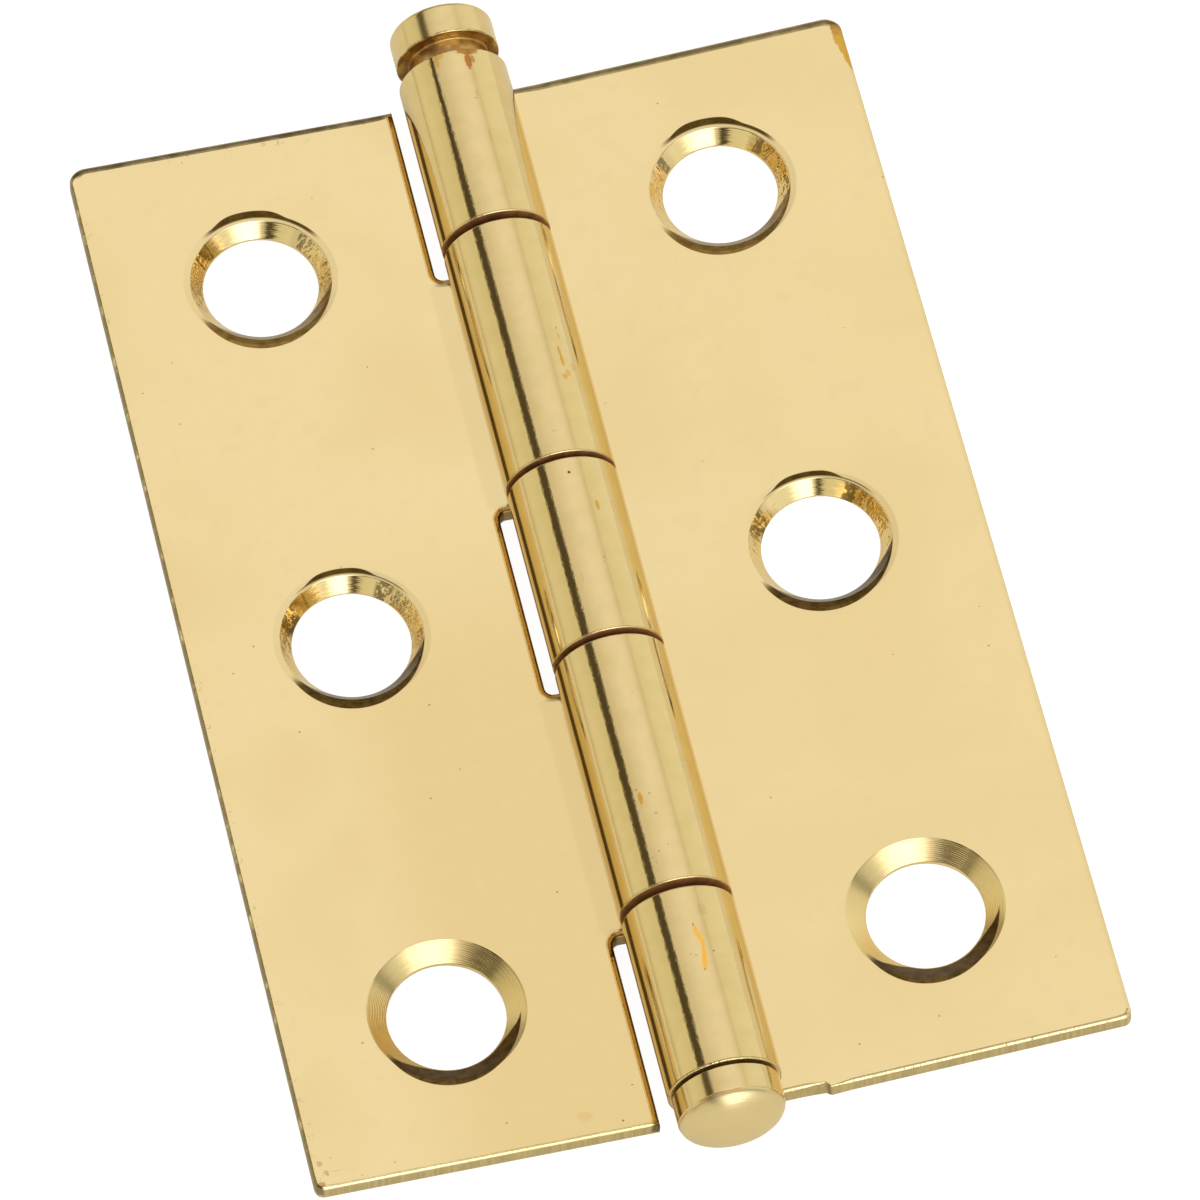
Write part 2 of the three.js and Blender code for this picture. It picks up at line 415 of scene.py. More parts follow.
            ok &= ~inside(cen, U[L][:, :2])
        for t in tris[ok]:
            a, b, c = V2[t]
            area = (b[0] - a[0]) * (c[1] - a[1]) - (b[1] - a[1]) * (c[0] - a[0])
            t = gid[t] if area > 0 else gid[t[::-1]]
            faces.append(tuple(int(q) for q in (t if up else t[::-1])))

    cap(front_ring, hole_front, SHEET, True)
    cap(back_ring, hole_back, 0.0, False)

    P, eu, eh = bend(U, sign)
    N = eu * NR[:, 0:1] + np.array([[0, 1, 0]]) * NR[:, 1:2] + eh * NR[:, 2:3]
    # gentle unevenness of the flat faces only, fading out towards edges, holes and the roll
    flat = (U[:, 0] > 0)
    fade = np.clip(U[:, 0] / 3.0, 0, 1) * flat
    fade = fade * np.clip((REACH - U[:, 0]) / 2.0, 0, 1) * np.clip((half - np.abs(U[:, 1])) / 2.0, 0, 1)
    for i in (-1, 0, 1):
        d = np.hypot(U[:, 0] - HOLE_X, U[:, 1] - (HOLE_Y + i * HOLE_PITCH))
        fade = fade * np.clip((d - 4.4) / 1.5, 0, 1)
    w, gx, gy = waves(P[:, 0], P[:, 1], seed)
    inner_front = (np.abs(U[:, 2] - SHEET) < 1e-6) & (np.abs(NR[:, 2] - 1) < 1e-6)
    fade = fade * inner_front
    P[:, 2] += fade * (w * 0.5 - 0.006)
    N[:, 0] += fade * gx * 0.5
    N[:, 1] += fade * gy * 0.5
    N /= np.linalg.norm(N, axis=1)[:, None]
    if sign < 0:
        faces = [f[::-1] for f in faces]
        c, s = math.cos(FOLD), math.sin(FOLD)

        def turn(Q, about):
            x, z = Q[:, 0].copy(), Q[:, 2] - about
            Q[:, 0] = c * x + s * z
            Q[:, 2] = -s * x + c * z + about
        turn(P, BARREL_R)
        turn(N, 0.0)
    roll = np.degrees(np.arctan2(P[:, 0], P[:, 2] - BARREL_R))
    roll = np.where(U[:, 0] < -0.5, roll, 0.0)
    P[:, 1] += Y0
    return make_object(name + "_sheet", P, faces, N,
                       {"edge": att_edge, "hole": att_hole, "which": att_ang, "side": att_phi, "across": att_cos,
                        "hgt": U[:, 2], "du": U[:, 0], "dv": U[:, 1], "roll": roll},
                       body, [name])


def inside(pts, poly):
    x, y = pts[:, 0][:, None], pts[:, 1][:, None]
    x0, y0 = poly[:, 0][None], poly[:, 1][None]
    x1, y1 = np.roll(poly[:, 0], -1)[None], np.roll(poly[:, 1], -1)[None]
    cond = ((y0 > y) != (y1 > y)) & (x < (x1 - x0) * (y - y0) / np.where(y1 == y0, 1e-12, y1 - y0) + x0)
    return cond.sum(1) % 2 == 1


def dist_to_poly(pts, poly):
    best = np.full(len(pts), 1e9)
    q = np.roll(poly, -1, 0)
    for a, b in zip(poly, q):
        d = b - a
        t = np.clip(((pts - a) @ d) / (d @ d), 0, 1)
        best = np.minimum(best, np.linalg.norm(pts - (a + t[:, None] * d), axis=1))
    return best


NODE_OF = {"pin_turned": "pin", "button_turned": "bottom_button"}


def turned(name, pts, norms, segs, body):
    """A revolved piece about the pin's axis; the profile runs from the low end's axis to the high end's axis, solid on its left."""
    pts = np.asarray(pts, float)
    norms = np.asarray(norms, float)
    ang = np.linspace(0, 2 * math.pi, segs, endpoint=False)
    verts, nrm, prof = [], [], []
    rows = []
    for k, ((r, y), (nr, ny)) in enumerate(zip(pts, norms)):
        if r < 1e-9:
            rows.append([len(verts)])
            verts.append((0, y, BARREL_R))
            nrm.append((0, ny, 0))
            prof.append(y)
            continue
        rows.append([len(verts) + s for s in range(segs)])
        for a in ang:
            verts.append((r * math.cos(a), y, BARREL_R + r * math.sin(a)))
            nrm.append((nr * math.cos(a), ny, nr * math.sin(a)))
            prof.append(y)
    faces = []
    for A_, B_ in zip(rows, rows[1:]):
        for s in range(segs):
            t = (s + 1) % segs
            if len(A_) == 1:
                faces.append((A_[0], B_[s], B_[t]))
            elif len(B_) == 1:
                faces.append((A_[s], B_[0], A_[t]))
            else:
                faces.append((A_[s], B_[s], B_[t], A_[t]))
    V = np.array(verts, float)
    V[:, 1] += Y0
    Nn = np.array(nrm, float)
    rad = np.hypot(V[:, 0], V[:, 2] - BARREL_R)
    Nn /= np.maximum(np.linalg.norm(Nn, axis=1), 1e-9)[:, None]
    return make_object(name, V, faces, Nn, {"rad": rad, "along": V[:, 1] - Y0}, body, [NODE_OF[name]])



# ---------------------------------------------------------------- materials
class Net:
    def __init__(self, name):
        self.mat = bpy.data.materials.new(name)
        self.mat.use_nodes = True
        self.t = self.mat.node_tree
        self.t.nodes.clear()
        self.out = self.t.nodes.new("ShaderNodeOutputMaterial")
        self.bsdf = self.t.nodes.new("ShaderNodeBsdfPrincipled")
        self.t.links.new(self.bsdf.outputs[0], self.out.inputs[0])

    def n(self, kind, **kw):
        nd = self.t.nodes.new(kind)
        for k, v in kw.items():
            setattr(nd, k, v)
        return nd

    def link(self, a, b):
        self.t.links.new(a, b)

    def val(self, sock, x):
        if isinstance(x, (int, float, tuple, list)):
            sock.default_value = x
        else:
            self.link(x, sock)

    def math(self, op, a, b=0.0, c=None, clamp=False):
        nd = self.n("ShaderNodeMath", operation=op, use_clamp=clamp)
        self.val(nd.inputs[0], a)
        self.val(nd.inputs[1], b)
        if c is not None:
            self.val(nd.inputs[2], c)
        return nd.outputs[0]

    def add(self, a, b):
        return self.math("ADD", a, b)

    def mul(self, *xs):
        out = xs[0]
        for x in xs[1:]:
            out = self.math("MULTIPLY", out, x)
        return out

    def inv(self, a):
        return self.math("SUBTRACT", 1.0, a)

    def attr(self, name):
        return self.n("ShaderNodeAttribute", attribute_name=name).outputs["Fac"]

    def vec(self, x, y, z):
        nd = self.n("ShaderNodeCombineXYZ")
        for s, v in zip(nd.inputs, (x, y, z)):
            self.val(s, v)
        return nd.outputs[0]

    def noise(self, vector, scale, detail=4.0, rough=0.55, dist=0.0):
        nd = self.n("ShaderNodeTexNoise")
        self.link(vector, nd.inputs["Vector"])
        nd.inputs["Scale"].default_value = scale
        nd.inputs["Detail"].default_value = detail
        nd.inputs["Roughness"].default_value = rough
        nd.inputs["Distortion"].default_value = dist
        return nd.outputs["Fac"]

    def cells(self, vector, scale, jitter=1.0):
        nd = self.n("ShaderNodeTexVoronoi", feature="F1")
        self.link(vector, nd.inputs["Vector"])
        nd.inputs["Scale"].default_value = scale
        nd.inputs["Randomness"].default_value = jitter
        return nd.outputs["Distance"]

    def mix(self, fac, a, b, mode="MIX"):
        nd = self.n("ShaderNodeMix", data_type="RGBA", blend_type=mode)
        self.val(nd.inputs[0], fac)
        self.val(nd.inputs[6], a)
        self.val(nd.inputs[7], b)
        return nd.outputs[2]

    def step(self, x, lo, hi):
        """0 below lo, 1 above hi, smooth between; falls instead when lo > hi."""
        nd = self.n("ShaderNodeMapRange", interpolation_type="SMOOTHSTEP")
        self.val(nd.inputs[0], x)
        flip = lo > hi
        a, b = (hi, lo) if flip else (lo, hi)
        nd.inputs[1].default_value = a
        nd.inputs[2].default_value = b
        nd.inputs[3].default_value = 1.0 if flip else 0.0
        nd.inputs[4].default_value = 0.0 if flip else 1.0
        return nd.outputs[0]

    def band(self, x, a, b, soft):
        return self.mul(self.step(x, a - soft, a + soft), self.step(x, b + soft, b - soft))

    def spot(self, x, y, x0, y0, rx, ry, ragged=None, amount=0.0, soft=0.25):
        """A blotch about (x0, y0) with half-widths rx and ry, its outline broken up by a noise."""
        a = self.math("MULTIPLY_ADD", x, 1.0 / rx, -x0 / rx)
        b = self.math("MULTIPLY_ADD", y, 1.0 / ry, -y0 / ry)
        d = self.n("ShaderNodeVectorMath", operation="LENGTH")
        self.link(self.vec(a, b, 0.0), d.inputs[0])
        d = d.outputs["Value"]
        if ragged is not None:
            d = self.math("MULTIPLY_ADD", self.math("SUBTRACT", ragged, 0.5), amount, d)
        return self.step(d, 1.0 + soft, 1.0 - soft)

    def bump(self, height, strength, distance, normal=None):
        nd = self.n("ShaderNodeBump")
        nd.inputs["Strength"].default_value = strength
        nd.inputs["Distance"].default_value = distance
        self.link(height, nd.inputs["Height"])
        if normal is not None:
            self.link(normal, nd.inputs["Normal"])
        return nd.outputs[0]


AMBER = (0.70, 0.39, 0.075, 1)
HONEY = (0.93, 0.50, 0.08, 1)
RUST = (0.50, 0.22, 0.055, 1)
DARK = (0.13, 0.07, 0.025, 1)
TAN = (0.60, 0.42, 0.18, 1)

# marks on the flat fronts: reach, place along the pin, half-widths (mm), colour, strength
FLAT_MARKS = {
    "fixed_leaf": [(9.4, 24.3, 0.05, 0.05, DARK, 0.5), (19.6, -8.7, 0.06, 0.05, DARK, 0.45), (6.4, -14.6, 0.05, 0.05, DARK, 0.5),
                   (16.9, 12.2, 0.08, 0.03, TAN, 0.6), (7.7, 6.1, 0.04, 0.04, DARK, 0.5), (18.4, -27.4, 0.05, 0.04, DARK, 0.45)],
    "moving_leaf": [(20.89, -30.27, 0.15, 0.15, TAN, 0.8), (20.67, -30.80, 0.13, 0.10, TAN, 0.8), (20.60, -30.95, 0.07, 0.06, DARK, 0.5),
                    (21.03, -31.45, 0.20, 0.16, RUST, 0.7), (20.26, -30.03, 0.06, 0.05, TAN, 0.6), (17.11, -30.99, 0.08, 0.06, TAN, 0.55),
                    (18.89, -31.36, 0.06, 0.05, TAN, 0.55), (20.15, -30.83, 0.30, 0.03, TAN, 0.5), (4.27, -29.23, 0.07, 0.05, DARK, 0.45),
                    (5.21, -31.15, 0.06, 0.06, DARK, 0.7), (7.07, -30.50, 0.40, 0.28, AMBER, 0.22), (8.2, 16.0, 0.05, 0.05, DARK, 0.45),
                    (18.7, 14.6, 0.06, 0.05, DARK, 0.45), (8.8, -9.2, 0.07, 0.04, DARK, 0.4)],
}
# marks on the barrel: turn about the pin from straight up (degrees), place along the pin (mm), half-widths, colour, strength
ROLL_MARKS = {
    "fixed_leaf": [(18.0, 31.55, 11.5, 0.26, RUST, 0.95), (16.3, 30.85, 3.6, 0.50, RUST, 0.95), (21.5, 30.95, 2.6, 0.25, RUST, 0.7),
                   (-16.0, 31.2, 2.2, 0.40, AMBER, 0.6), (-12.5, 31.5, 5.0, 0.2, AMBER, 0.6),
                   (14.2, 28.42, 2.0, 0.05, TAN, 0.8), (16.2, 28.72, 0.8, 0.22, TAN, 0.7), (18.0, 25.9, 0.7, 0.5, TAN, 0.35),
                   (25.7, 2.15, 2.1, 0.33, AMBER, 0.85), (5.45, 4.33, 1.5, 0.09, DARK, 0.85), (17.5, -1.09, 1.6, 0.07, TAN, 0.7),
                   (16.6, -1.35, 0.8, 0.05, TAN, 0.7), (-9.0, -2.0, 0.6, 0.30, TAN, 0.5),
                   (7.2, -23.45, 1.0, 0.11, RUST, 0.7), (7.9, -23.80, 2.0, 0.30, HONEY, 0.9), (9.8, -24.15, 2.2, 0.27, HONEY, 0.95),
                   (11.7, -24.55, 2.0, 0.30, HONEY, 1.0), (10.9, -25.05, 2.0, 0.36, HONEY, 1.0), (9.4, -25.45, 2.4, 0.32, HONEY, 1.0),
                   (8.0, -25.75, 2.4, 0.26, HONEY, 1.0), (6.9, -26.08, 1.2, 0.09, RUST, 0.6), (-2.5, -25.08, 1.0, 0.05, TAN, 0.8),
                   (2.0, -25.20, 1.3, 0.06, TAN, 0.7), (20.0, -22.6, 5.0, 0.35, TAN, 0.25)],
    "moving_leaf": [(33.7, 13.46, 1.2, 0.10, TAN, 0.85), (33.9, 12.92, 1.3, 0.18, AMBER, 0.6), (29.8, 11.95, 1.8, 0.28, AMBER, 0.85),
                    (30.4, 11.35, 1.9, 0.38, AMBER, 0.9), (28.8, 10.32, 3.2, 0.18, AMBER, 0.6), (33.5, 10.55, 3.2, 0.22, AMBER, 0.5),
                    (42.0, 11.0, 4.0, 0.26, AMBER, 0.35), (2.0, 7.0, 3.2, 0.05, TAN, 0.5),
                    (-10.6, -15.60, 2.4, 0.36, AMBER, 0.9), (-12.6, -15.06, 1.4, 0.09, AMBER, 0.8), (-0.7, -15.44, 1.6, 0.06, TAN, 0.9),
                    (0.5, -16.65, 2.2, 0.07, TAN, 0.9), (-6.45, -18.85, 1.1, 0.07, TAN, 0.8), (4.3, -18.56, 1.0, 0.06, TAN, 0.7),
                    (-14.1, -19.10, 0.9, 0.06, TAN, 0.7), (-11.5, -19.45, 0.7, 0.08, TAN, 0.5), (9.0, -9.4, 0.8, 0.05, TAN, 0.6)],
}


def leaf_material(name, seed, leaf_name):
    m = Net(name)
    du, dv = m.attr("du"), m.attr("dv")
    edge, hole, side, which, roll = m.attr("edge"), m.attr("hole"), m.attr("side"), m.attr("which"), m.attr("roll")
    across, hgt = m.attr("across"), m.attr("hgt")
    half = LEAF_LENGTH / 2
    p = m.vec(du, dv, float(seed))
    cloud = m.noise(p, 0.10, 2.0, 0.5)
    mid = m.noise(p, 0.9, 3.0, 0.55)
    fine = m.noise(p, 3.0, 4.0, 0.6)
    # plated flat: warm pale brass with soft clouds
    pale, deep = (0.872, 0.686, 0.352, 1), (0.812, 0.610, 0.280, 1)
    if leaf_name == "fixed_leaf":
        pale, deep = (0.884, 0.695, 0.355, 1), (0.824, 0.618, 0.282, 1)
    d = m.step(cloud, 0.42, 0.72)
    if leaf_name == "moving_leaf":
        d = m.math("MAXIMUM", m.mul(d, 0.6), m.mul(m.step(dv, 8.0, -6.0), m.step(du, 17.5, 10.0), m.math("MULTIPLY_ADD", mid, 0.5, 0.65)))
    else:
        d = m.math("MAXIMUM", m.mul(d, 0.45), m.mul(m.band(dv, -22.0, -15.0, 3.0), 0.35))
    base = m.mix(d, pale, deep)
    base = m.mix(m.mul(m.step(mid, 0.5, 0.75), 0.22), base, (0.80, 0.63, 0.33, 1))
    # the rolled barrel is a shade deeper and less even
    rolled = m.step(du, 1.5, -0.5)
    rollc = m.mix(m.step(mid, 0.35, 0.68), (0.805, 0.615, 0.296, 1), (0.765, 0.588, 0.272, 1))
    base = m.mix(rolled, base, rollc)
    # tiny pits, with a faint ring of dirt
    pits = m.cells(p, 0.62)
    sp = m.mul(m.step(pits, 0.045, 0.028), m.step(m.noise(p, 0.33, 1.0, 0.5), 0.50, 0.56))
    base = m.mix(m.mul(sp, 0.55), base, DARK)
    # stains and spots
    ragged = m.noise(p, 5.0, 3.0, 0.6)
    for x0, y0, rx, ry, col, k in FLAT_MARKS[leaf_name]:
        base = m.mix(m.mul(m.spot(du, dv, x0, y0, rx, ry, ragged, 0.9, 0.3), k), base, col)
    for a0, y0, ra, ry, col, k in ROLL_MARKS[leaf_name]:
        on = m.mul(m.spot(roll, dv, a0, y0, ra, ry, ragged, 1.0, 0.22), m.step(du, -0.4, -0.6))
        base = m.mix(m.mul(on, m.math("MULTIPLY_ADD", fine, 0.5, k - 0.2)), base, col)
    if leaf_name == "fixed_leaf":
        # lacquer run along the outer edge under the upper corner
        lim = m.math("MULTIPLY_ADD", m.math("MAXIMUM", m.math("SUBTRACT", 30.1, dv), 0.0), 0.235, REACH - 0.60)
        lim = m.math("MULTIPLY_ADD", m.math("SUBTRACT", ragged, 0.5), 0.30, lim)
        st = m.mul(m.step(m.math("SUBTRACT", du, lim), -0.03, 0.05), m.band(dv, 28.0, 31.35, 0.10))
        stc = m.mix(m.step(m.math("MULTIPLY_ADD", fine, 0.5, m.mul(m.math("SUBTRACT", dv, 30.2), 0.35)), 0.25, 0.55), (0.66, 0.36, 0.045, 1), (0.42, 0.20, 0.035, 1))
        base = m.mix(m.mul(st, 0.92), base, stc)
    else:
        # old film caught along the outer and upper edges
        specks = m.step(m.noise(p, 2.6, 4.0, 0.7), 0.60, 0.68)
        near = m.math("MAXIMUM", m.step(du, REACH - 0.75, REACH - 0.15), m.step(dv, half - 1.3, half - 0.35))
        near = m.mul(near, m.step(hgt, 0.99, 0.998), m.step(du, 3.6, 3.9))
        base = m.mix(m.mul(specks, near, 0.55), base, (0.36, 0.26, 0.11, 1))
    # sheared sides: dull tan, with short drawn marks across the thickness
    ed = m.step(edge, 0.80, 0.97)
    ends = m.mul(m.step(du, -0.6, -0.9), m.step(m.math("ABSOLUTE", dv), half - 0.6, half - 0.35))
    drawn = m.noise(m.vec(m.mul(du, 2.2), m.mul(dv, 2.2), m.mul(edge, 0.4)), 2.6, 4.0, 0.65)
    edc = m.mix(m.step(drawn, 0.35, 0.65), (0.50, 0.395, 0.175, 1), (0.62, 0.50, 0.235, 1))
    base = m.mix(ed, base, m.mix(ends, edc, (0.80, 0.62, 0.31, 1)))
    # painted dark reflection: the upper edges' rollover is coloured dark brown
    over = m.mul(m.step(edge, 0.006, 0.03), m.step(dv, half - 0.80, half - 0.45), m.step(du, 2.0, 3.0))
    over = m.mul(over, m.math("MULTIPLY_ADD", m.step(m.noise(p, 1.1, 3.0, 0.6), 0.3, 0.7), 0.25, 0.68))
    base = m.mix(over, base, (0.215, 0.148, 0.052, 1) if leaf_name == "fixed_leaf" else (0.115, 0.074, 0.026, 1))
    # the sides of the slots beside the barrel: amber, brown at the very edge
    if leaf_name == "moving_leaf":
        slot = m.mul(m.step(du, 3.95, 3.7), m.step(du, 3.0, 3.2), m.step(edge, 0.004, 0.03), m.step(hgt, 0.2, 0.3))
        base = m.mix(m.mul(slot, 0.85), base, m.mix(m.step(edge, 0.35, 0.75), (0.66, 0.39, 0.10, 1), (0.12, 0.07, 0.02, 1)))
        # painted dark reflection: a thin olive line on the outer edge's rollover
        rim_l = m.mul(m.step(du, REACH - 0.5, REACH - 0.3), m.step(edge, 0.10, 0.35), m.step(hgt, 0.3, 0.4), m.step(m.noise(p, 0.8, 3.0, 0.6), 0.30, 0.50))
        base = m.mix(m.mul(rim_l, 0.8), base, (0.17, 0.12, 0.045, 1))
    # ends of the rolled tabs, seen down in the gaps between knuckles, are painted reddish brown: painted shade of the
    # gaps, with the warm light bounced between the brass knuckles
    tabend = m.mul(m.step(edge, 0.45, 0.8), m.step(du, -0.6, -0.9), m.step(m.math("ABSOLUTE", dv), half - 0.35, half - 0.6))
    base = m.mix(m.mul(tabend, 0.92), base, m.mix(m.step(m.noise(p, 1.6, 3.0, 0.6), 0.35, 0.65), (0.46, 0.19, 0.055, 1), (0.27, 0.105, 0.03, 1)))
    # countersinks: painted shade and dark reflections in two crescents on the lip, on its upper and lower sides, an
    # amber bloom on the flanks
    dux = m.math("SUBTRACT", du, HOLE_X)
    dvy = m.math("SUBTRACT", dv, HOLE_Y)
    dvw = m.math("SUBTRACT", dvy, m.mul(m.math("ROUND", m.mul(dvy, 1.0 / HOLE_PITCH)), HOLE_PITCH))
    hole = m.math("SQRT", m.math("MAXIMUM", m.math("MULTIPLY_ADD", dux, dux, m.mul(dvw, dvw)), 0.01))
    side = m.math("DIVIDE", dvw, hole)
    across = m.math("DIVIDE", m.mul(dux, 1.0 if leaf_name == "fixed_leaf" else -1.0), hole)
    which = m.math("MULTIPLY_ADD", dvy, 1.0 / HOLE_PITCH, 1.0)
    onh = m.mul(m.step(hole, 4.72, 4.66), m.step(du, 3.0, 3.2), m.step(hgt, 0.01, 0.03))
    upw = m.add(m.mul(across, 0.211), m.mul(side, 0.977))
    dnw = m.math("SUBTRACT", m.mul(across, 0.179), m.mul(side, 0.984))
    rag2 = m.noise(p, 2.2, 3.0, 0.6)
    rag3 = m.mul(m.math("SUBTRACT", rag2, 0.5), 0.16)
    r_ = m.add(hole, rag3)
    mid_row = m.mul(m.step(which, 0.4, 0.6), m.step(which, 1.6, 1.4))
    ham = m.step(which, 0.4, 0.6)           # the lowest holes are cut smooth, the others are coined
    top_row = m.step(which, 1.4, 1.6)
    upl = m.math("SUBTRACT", m.mul(side, 0.9991), m.mul(across, -0.040))
    out_up = m.math("MULTIPLY_ADD", m.step(upl, 0.86, 0.985), 0.24, m.math("MULTIPLY_ADD", top_row, 0.20, 3.98))
    in_up = m.math("SUBTRACT", hole, m.mul(top_row, 0.07))
    upper_lip_painted_dark = m.mul(m.step(in_up, 3.83, 3.95), m.step(m.math("SUBTRACT", out_up, hole), 0.0, 0.05), m.step(upw, 0.62, 0.80), ham)
    out_dn = m.math("MULTIPLY_ADD", m.mul(upw, upw), 0.57, 3.84)
    in_dn = m.math("MULTIPLY_ADD", m.step(dnw, 0.30, 0.85), -0.68, 3.80)
    lower_lip_painted_dark = m.mul(m.step(m.math("SUBTRACT", r_, in_dn), 0.0, 0.10), m.step(m.math("SUBTRACT", out_dn, hole), -0.01, 0.04), m.step(dnw, 0.22, 0.45))
    cone = m.mul(m.step(hole, 3.10, 3.16), m.step(m.math("SUBTRACT", m.math("MULTIPLY_ADD", ham, -0.30, 4.10), hole), 0.0, 0.03))
    flank = m.mul(cone, m.step(m.math("ABSOLUTE", m.math("SUBTRACT", side, 0.05)), 0.75, 0.40))
    base = m.mix(m.mul(flank, onh, m.math("MULTIPLY_ADD", ham, 0.30, 0.35)), base, (0.87, 0.63, 0.26, 1))
    # painted highlight: the lower side of each cone is tinted pale cream
    base = m.mix(m.mul(cone, onh, m.step(dnw, 0.2, 0.8), 0.45), base, (0.80, 0.66, 0.38, 1))
    # a few dark spots on the middle row's flanks
    flank_dark_spots = m.math("MAXIMUM", m.step(m.add(m.mul(across, -0.845), m.mul(side, 0.535)), 0.965, 0.99), m.step(m.add(m.mul(across, 0.652), m.mul(side, 0.758)), 0.987, 0.996))
    flank_dark_spots = m.mul(flank_dark_spots, cone, onh, mid_row, m.step(m.noise(p, 3.6, 3.0, 0.7), 0.42, 0.50))
    # the lip's painted shade and dark reflections, with the dark flank spots, are laid over the base colour: near black
    # on the upper side, brown on the lower
    lip_shade_and_spots = m.math("MAXIMUM", m.mul(upper_lip_painted_dark, 0.98), m.math("MAXIMUM", m.mul(lower_lip_painted_dark, 0.98), m.mul(flank_dark_spots, 0.75)))
    lip_shade_and_spots = m.mul(lip_shade_and_spots, onh)
    lip_dark_colour_below = m.mix(m.step(rag2, 0.35, 0.62), (0.185, 0.098, 0.016, 1), (0.285, 0.165, 0.042, 1))
    lip_dark_colour_below = m.mix(top_row, m.mix(m.step(rag2, 0.35, 0.62), (0.062, 0.030, 0.003, 1), (0.130, 0.072, 0.014, 1)), lip_dark_colour_below)
    lip_dark_colour_above = m.mix(m.step(rag2, 0.35, 0.62), (0.062, 0.031, 0.002, 1), (0.110, 0.056, 0.005, 1))
    base = m.mix(lip_shade_and_spots, base, m.mix(m.step(upw, -0.1, 0.2), lip_dark_colour_below, lip_dark_colour_above))
    # painted shade: a dark line at the step in the lower edge
    if leaf_name == "fixed_leaf":
        step_shade_line = m.mul(m.band(du, STEP_X - 0.02, STEP_X + 0.10, 0.04), m.step(dv, -half + 0.55, -half + 0.30), m.step(edge, 0.05, 0.4))
        base = m.mix(m.mul(step_shade_line, 0.75), base, (0.16, 0.11, 0.03, 1))
    m.link(base, m.bsdf.inputs["Base Color"])
    rough = m.math("MULTIPLY_ADD", fine, 0.05, 0.055)
    rough = m.math("MULTIPLY_ADD", ed, 0.26, rough)
    rough = m.math("MULTIPLY_ADD", tabend, 0.25, rough)
    rough = m.math("MULTIPLY_ADD", lip_shade_and_spots, 0.15, rough)
    rough = m.math("MULTIPLY_ADD", m.mul(cone, onh, m.math("SUBTRACT", 1.0, ham)), 0.13, rough)
    rough = m.math("MULTIPLY_ADD", over, 0.12, rough)
    m.link(rough, m.bsdf.inputs["Roughness"])
    metal = m.math("SUBTRACT", 1.0, m.math("MAXIMUM", m.mul(tabend, 0.65), m.mul(ed, m.inv(ends), 0.25)))
    m.link(metal, m.bsdf.inputs["Metallic"])
    # relief, in micrometres: slow waves and fine ripples on the roll, orange peel on the flat, dents in the cones, nicks on edges
    arc = m.mul(roll, 0.0524)
    q = m.vec(arc, m.mul(dv, 0.55), float(seed) + 3.0)
    slow = m.noise(q, 0.42, 2.0, 0.5)
    ripple = m.noise(m.vec(arc, dv, float(seed) + 9.0), 1.9, 3.0, 0.6)
    ragline = m.noise(m.vec(m.mul(arc, 1.2), dv, float(seed) + 5.0), 3.0, 3.0, 0.65)
    streaky = m.mul(m.band(roll, -28.0, -14.5, 2.0), rolled)
    h = m.mul(rolled, m.math("MULTIPLY_ADD", slow, 9.0, m.mul(ripple, 1.2)))
    h = m.math("MULTIPLY_ADD", streaky, m.mul(ragline, 7.5), h)
    if leaf_name == "fixed_leaf":
        # the top knuckle is a little ridged along the same line
        xr = m.mul(m.add(roll, 21.2), 0.0524 / 0.22)
        bell = m.math("POWER", 2.718, m.mul(xr, xr, -1.0))
        h = m.math("MULTIPLY_ADD", m.mul(bell, rolled, m.step(dv, 20.5, 31.0)), 10.0, h)
    else:
        # the sheet lifts slightly where it runs under the barrel
        rise = m.math("MAXIMUM", m.math("SUBTRACT", 3.95, du), 0.0)
        rise = m.math("DIVIDE", m.mul(rise, rise), m.add(rise, 0.12))
        lift = m.mul(m.math("MAXIMUM", m.band(dv, K4[0] + 0.3, K4[1] - 0.3, 0.25), m.band(dv, K2[0] + 0.3, K2[1] - 0.3, 0.25)), m.step(du, 2.0, 2.3), m.step(hgt, 0.99, 0.995))
        h = m.math("MULTIPLY_ADD", m.mul(lift, rise), 140.0, h)
    h = m.math("MULTIPLY_ADD", mid, 0.5, h)
    h = m.math("MULTIPLY_ADD", fine, 0.12, h)
    h = m.math("MULTIPLY_ADD", m.mul(sp, -1.0), 3.0, h)
    dents = m.noise(p, 2.1, 2.5, 0.6)
    h = m.math("MULTIPLY_ADD", m.mul(flank, ham, onh), m.mul(dents, 95.0), h)
    rings = m.math("SINE", m.math("MULTIPLY_ADD", hole, 2 * math.pi / 0.085, m.mul(rag2, 2.0)))
    h = m.math("MULTIPLY_ADD", m.mul(cone, onh, m.math("MULTIPLY_ADD", ham, -0.85, 1.0)), m.mul(rings, 1.0), h)
    streak = m.noise(m.vec(m.mul(hole, 9.0), m.mul(side, 2.0), which), 1.3, 3.0, 0.6)
    h = m.math("MULTIPLY_ADD", m.mul(cone, onh), m.mul(streak, 6.0), h)
    nicks = m.noise(m.vec(du, dv, 4.0), 2.8, 4.0, 0.7)
    rim = m.band(edge, 0.05, 0.90, 0.05)
    beads = m.mul(rim, m.step(dv, -half + 0.6, -half + 0.4), m.noise(m.vec(m.mul(du, 1.0), 0.0, 6.0), 3.4, 2.0, 0.6))
    h = m.math("MULTIPLY_ADD", rim, m.mul(nicks, 26.0), h)
    h = m.math("MULTIPLY_ADD", beads, 70.0 if leaf_name == "fixed_leaf" else 12.0, h)
    k5 = m.mul(m.step(dv, -31.0, -31.25), m.step(du, -0.3, -0.6), m.step(edge, 0.02, 0.3))
    h = m.math("MULTIPLY_ADD", k5, m.mul(m.noise(m.vec(arc, dv, 7.0), 3.2, 2.0, 0.6), 60.0), h)
    h = m.math("MULTIPLY_ADD", ed, m.mul(drawn, 14.0), h)
    m.link(m.bump(h, 1.0, 0.000001), m.bsdf.inputs["Normal"])
    return m.mat


